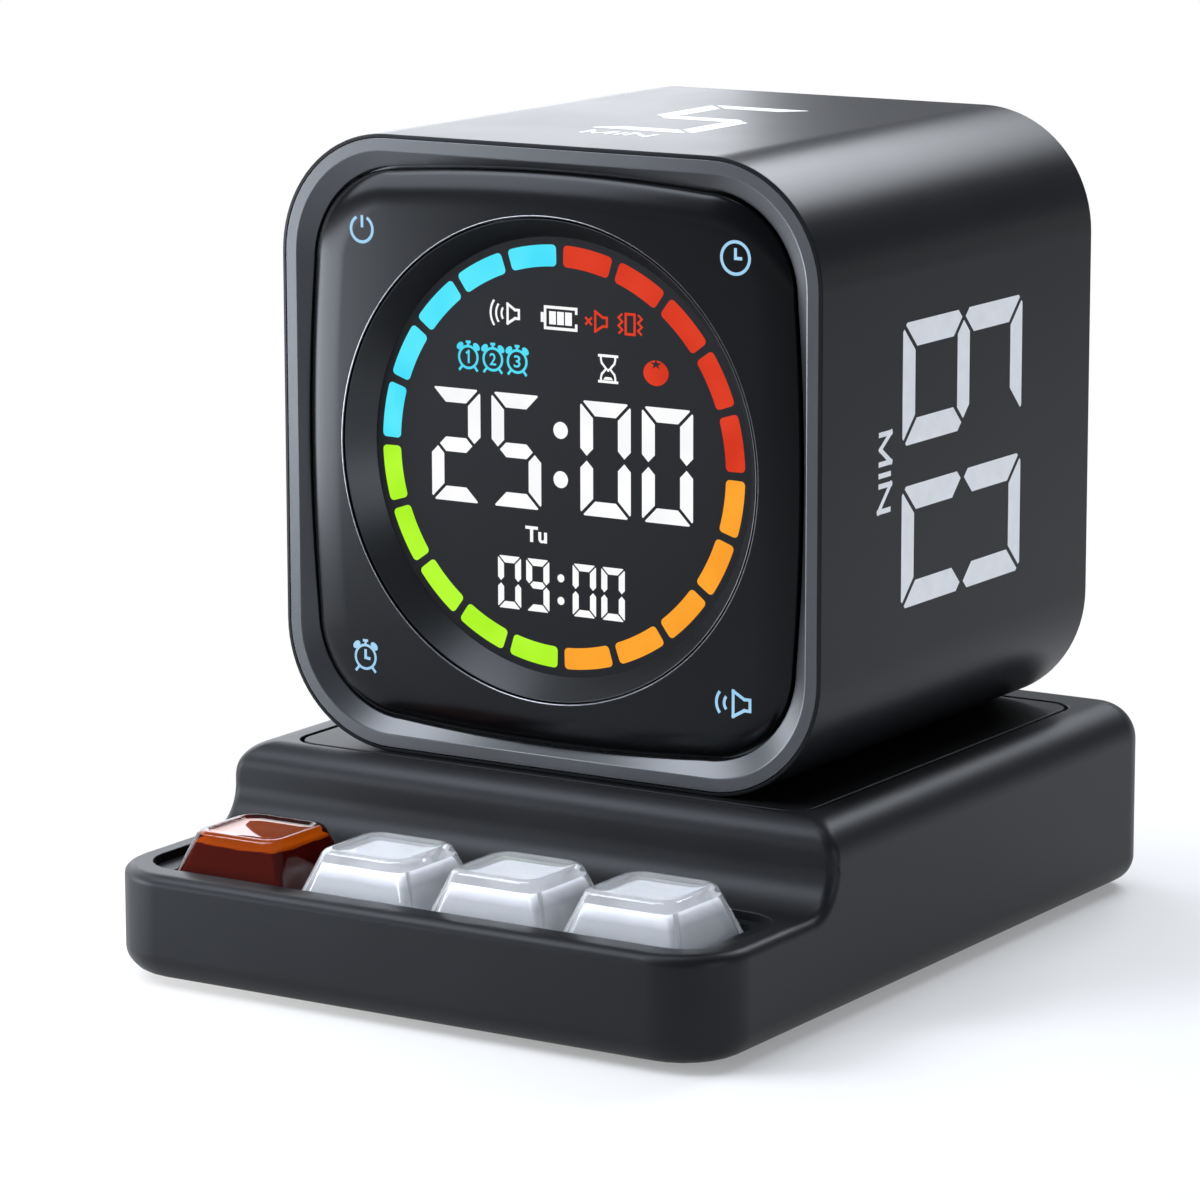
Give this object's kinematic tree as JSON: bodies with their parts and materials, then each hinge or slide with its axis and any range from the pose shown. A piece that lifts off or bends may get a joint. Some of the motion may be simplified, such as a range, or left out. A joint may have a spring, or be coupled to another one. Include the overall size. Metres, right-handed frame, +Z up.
{
  "type": "cube timer",
  "caption": "Rounded cube timer with a round lit display in its front, standing on a stepped dock with a row of clear push keys.",
  "frame": {"origin": "on the table, under the middle of the dock's outline", "axes": "+Z up, -Y towards the user, who faces the display and the keys, +X to the user's right"},
  "size_m": [0.0904, 0.115, 0.1047],
  "materials": {
    "sleeve_plastic": "satin moulded",
    "bezel_plastic": "satin moulded",
    "gloss_panel": "high gloss",
    "smoked_lens": "smoked, semi-gloss",
    "light_guide": "diffusing",
    "dock_plastic": "satin moulded",
    "soft_rubber": "matt",
    "inner_plastic": "matt moulded",
    "circuit_board": "solder mask",
    "chip_plastic": "matt moulded",
    "cell_foil": "satin foil",
    "plain_steel": "plain",
    "screw_steel": "black oxide",
    "cone_fibre": "pressed fibre",
    "clear_cap": "clear gloss",
    "orange_cap": "clear gloss, tinted",
    "white_core": "translucent, smooth",
    "red_core": "translucent, smooth",
    "stem_plastic": "smooth"
  },
  "bodies": {
    "dock": {"base_battery": "cell_foil", "base_plate": "inner_plastic", "base_screw_1": "screw_steel", "base_screw_2": "screw_steel", "base_screw_3": "screw_steel", "base_screw_4": "screw_steel", "base_shell": "dock_plastic", "base_usb_socket": "plain_steel", "foot_1": "soft_rubber", "foot_2": "soft_rubber", "foot_3": "soft_rubber", "foot_4": "soft_rubber", "key_board": "circuit_board", "key_plate": "plain_steel", "power_board": "circuit_board", "rest_pad": "soft_rubber", "switch_housing_1": "inner_plastic", "switch_housing_2": "inner_plastic", "switch_housing_3": "inner_plastic", "switch_housing_4": "inner_plastic"},
    "cube": {"cube_sleeve": "sleeve_plastic", "front_bezel": "bezel_plastic", "front_panel": "gloss_panel", "touch_film": "smoked_lens", "dial_cone": "gloss_panel", "display_window": "smoked_lens", "display_module": "light_guide", "main_board": "circuit_board", "motion_sensor": "chip_plastic", "inner_frame": "inner_plastic", "cube_battery": "cell_foil", "vibration_motor": "plain_steel", "speaker_basket": "plain_steel", "speaker_cone": "cone_fibre", "rear_cover": "dock_plastic", "charge_board": "circuit_board", "cube_usb_socket": "plain_steel", "rear_screw_1": "screw_steel", "rear_screw_2": "screw_steel", "rear_screw_3": "screw_steel", "rear_screw_4": "screw_steel"},
    "vibration_weight": {"vibration_weight": "plain_steel"},
    "key_1": {"keycap_shell_1": "orange_cap", "keycap_core_1": "red_core", "switch_stem_1": "stem_plastic", "switch_spring_1": "plain_steel"},
    "key_2": {"keycap_shell_2": "clear_cap", "keycap_core_2": "white_core", "switch_stem_2": "stem_plastic", "switch_spring_2": "plain_steel"},
    "key_3": {"keycap_shell_3": "clear_cap", "keycap_core_3": "white_core", "switch_stem_3": "stem_plastic", "switch_spring_3": "plain_steel"},
    "key_4": {"keycap_shell_4": "clear_cap", "keycap_core_4": "white_core", "switch_stem_4": "stem_plastic", "switch_spring_4": "plain_steel"}
  },
  "joints": [
    {"name": "cube_lift", "type": "slide", "parent": "dock", "child": "cube", "axis": [0, 0, 1], "range_m": [0, 0.06]},
    {"name": "weight_spin", "type": "hinge", "parent": "cube", "child": "vibration_weight", "pos_m": [0, 0.0072, 0.04095], "axis": [1, 0, 0], "continuous": true},
    {"name": "key_press_1", "type": "slide", "parent": "dock", "child": "key_1", "axis": [0, 0, -1], "range_m": [0, 0.0025], "stiffness_N_per_m": 160, "springref_m": -0.0015, "deforming": ["switch_spring_1"]},
    {"name": "key_press_2", "type": "slide", "parent": "dock", "child": "key_2", "axis": [0, 0, -1], "range_m": [0, 0.0025], "stiffness_N_per_m": 160, "springref_m": -0.0015, "deforming": ["switch_spring_2"]},
    {"name": "key_press_3", "type": "slide", "parent": "dock", "child": "key_3", "axis": [0, 0, -1], "range_m": [0, 0.0025], "stiffness_N_per_m": 160, "springref_m": -0.0015, "deforming": ["switch_spring_3"]},
    {"name": "key_press_4", "type": "slide", "parent": "dock", "child": "key_4", "axis": [0, 0, -1], "range_m": [0, 0.0025], "stiffness_N_per_m": 160, "springref_m": -0.0015, "deforming": ["switch_spring_4"]}
  ]
}
